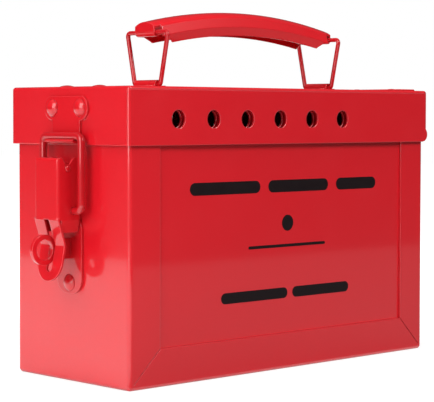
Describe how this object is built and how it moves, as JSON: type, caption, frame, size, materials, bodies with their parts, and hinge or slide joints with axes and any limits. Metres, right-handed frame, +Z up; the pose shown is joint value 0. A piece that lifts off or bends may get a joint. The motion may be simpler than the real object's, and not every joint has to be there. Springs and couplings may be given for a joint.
{
  "type": "group lock box",
  "caption": "Portable sheet-steel group lock box with a hinged lid, rows of padlock holes, a lockable draw latch and a folding carrying handle.",
  "frame": {"origin": "on the box's underside, below the middle of the lid, on the surface that it stands on", "axes": "+X along the box towards the hinge end, +Y to the rear, +Z up; the latch is on the -X end"},
  "size_m": [0.2556, 0.0954, 0.1941],
  "materials": {
    "red_powder_coat": "glossy red powder coat on sheet steel",
    "red_enamel_hardware": "the same glossy red coat over wires, plates, rivets and pins",
    "black_print": "thin black screen print"
  },
  "bodies": {
    "box": {"body_wrap": "red_powder_coat", "front_panel": "red_powder_coat", "rear_panel": "red_powder_coat", "hinge_lower_leaf": "red_enamel_hardware", "hinge_lower_rivets": "red_enamel_hardware", "hinge_pin": "red_enamel_hardware", "latch_base": "red_enamel_hardware", "latch_base_rivets": "red_enamel_hardware", "padlock_eye": "red_enamel_hardware", "latch_pivot_pin": "red_enamel_hardware"},
    "lid": {"lid_cover": "red_powder_coat", "lid_front_skirt": "red_powder_coat", "lid_rear_skirt": "red_powder_coat", "keeper": "red_enamel_hardware", "keeper_rivets": "red_enamel_hardware", "keeper_backing": "red_powder_coat", "keeper_backing_rivets": "red_enamel_hardware", "hinge_upper_leaf": "red_enamel_hardware", "hinge_upper_rivets": "red_enamel_hardware", "handle_bracket_left": "red_enamel_hardware", "handle_bracket_right": "red_enamel_hardware"},
    "latch_lever": {"latch_lever": "red_enamel_hardware"},
    "latch_bail": {"latch_bail": "red_enamel_hardware"},
    "handle_bail_left": {"handle_bail_left": "red_enamel_hardware"},
    "handle_bail_right": {"handle_bail_right": "red_enamel_hardware"},
    "handle_grip": {"handle_grip": "red_enamel_hardware"}
  },
  "joints": [
    {"name": "lid_hinge", "type": "hinge", "parent": "box", "child": "lid", "pos_m": [0.1131, 0, 0.126], "axis": [0, 1, 0], "range_deg": [0, 120]},
    {"name": "latch_lever_pivot", "type": "hinge", "parent": "box", "child": "latch_lever", "pos_m": [-0.1228, 0, 0.11], "axis": [0, 1, 0], "range_deg": [0, 130]},
    {"name": "latch_bail_pivot", "type": "hinge", "parent": "latch_lever", "child": "latch_bail", "pos_m": [-0.1188, 0, 0.0885], "axis": [0, 1, 0], "range_deg": [-150, 0]},
    {"name": "handle_left_pivot", "type": "hinge", "parent": "lid", "child": "handle_bail_left", "pos_m": [-0.061, 0, 0.1532], "axis": [0, 1, 0], "range_deg": [-75, 75]},
    {"name": "handle_right_pivot", "type": "hinge", "parent": "lid", "child": "handle_bail_right", "pos_m": [0.0725, 0, 0.1532], "axis": [0, 1, 0], "range_deg": [-75, 75]},
    {"name": "handle_grip_pivot", "type": "hinge", "parent": "handle_bail_left", "child": "handle_grip", "pos_m": [-0.061, 0, 0.181], "axis": [0, 1, 0], "range_deg": [-75, 75]}
  ],
  "couplings": [
    {"joint": "latch_bail_pivot", "follows": "latch_lever_pivot", "ratio": -1.15},
    {"joint": "handle_right_pivot", "follows": "handle_left_pivot", "ratio": 1},
    {"joint": "handle_grip_pivot", "follows": "handle_left_pivot", "ratio": -1}
  ]
}
